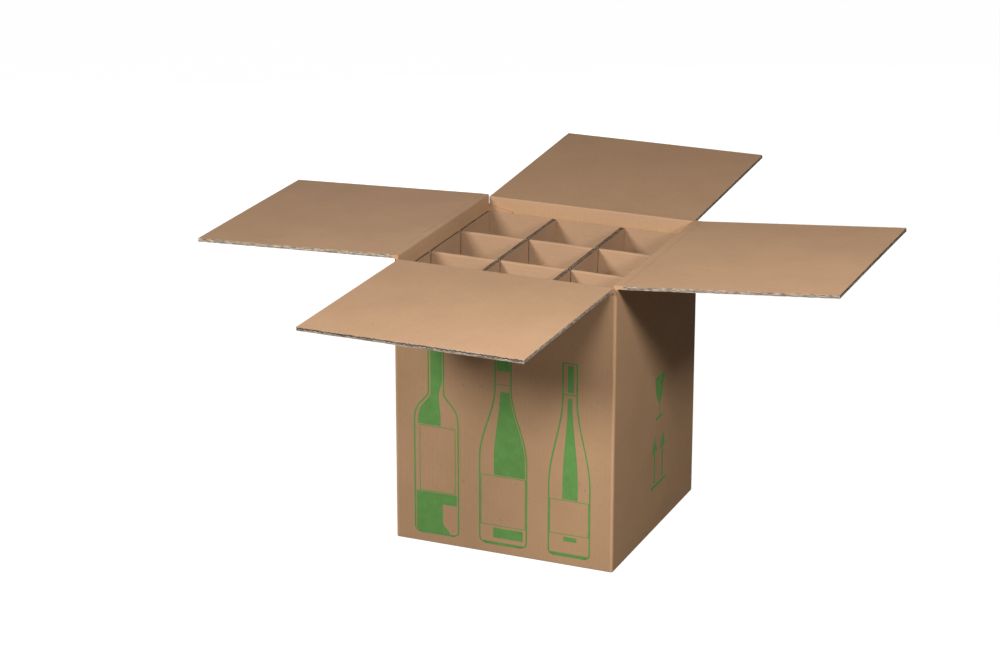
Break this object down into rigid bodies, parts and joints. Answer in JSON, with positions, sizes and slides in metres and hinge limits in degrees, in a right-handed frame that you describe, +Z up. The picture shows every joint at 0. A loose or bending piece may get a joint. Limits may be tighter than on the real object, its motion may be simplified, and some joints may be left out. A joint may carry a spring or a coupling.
{
  "type": "bottle shipping box",
  "caption": "Square corrugated shipping carton standing open, with full-width hinged lid flaps and folded bottle inserts in cells.",
  "frame": {"origin": "middle of the base, on the surface that the box stands on", "axes": "+X to the right, +Y to the back, +Z up; the front, with the printed bottles, faces -Y"},
  "size_m": [0.8778, 0.8787, 0.4132],
  "materials": {
    "carton_board": "matte brown kraft liner, corrugated",
    "insert_board": "matte brown kraft liner, corrugated",
    "green_print": "matte green ink on kraft"
  },
  "bodies": {
    "carton": {"carton_body": "carton_board", "insert_left": "insert_board", "insert_middle": "insert_board", "insert_right": "insert_board"},
    "front_flap": {"front_top_flap": "carton_board"},
    "back_flap": {"back_top_flap": "carton_board"},
    "right_flap": {"right_top_flap": "carton_board"},
    "left_flap": {"left_top_flap": "carton_board"}
  },
  "joints": [
    {"name": "front_flap_crease", "type": "hinge", "parent": "carton", "child": "front_flap", "pos_m": [0, -0.1528, 0.38], "axis": [-1, 0, 0], "range_deg": [-90.4, 179.6]},
    {"name": "back_flap_crease", "type": "hinge", "parent": "carton", "child": "back_flap", "pos_m": [0, 0.15445, 0.38315], "axis": [1, 0, 0], "range_deg": [-93, 177]},
    {"name": "right_flap_crease", "type": "hinge", "parent": "carton", "child": "right_flap", "pos_m": [0.1561, 0, 0.3863], "axis": [0, -1, 0], "range_deg": [-95.2, 174.8]},
    {"name": "left_flap_crease", "type": "hinge", "parent": "carton", "child": "left_flap", "pos_m": [-0.15775, 0, 0.38945], "axis": [0, 1, 0], "range_deg": [-87.4, 182.6]}
  ]
}
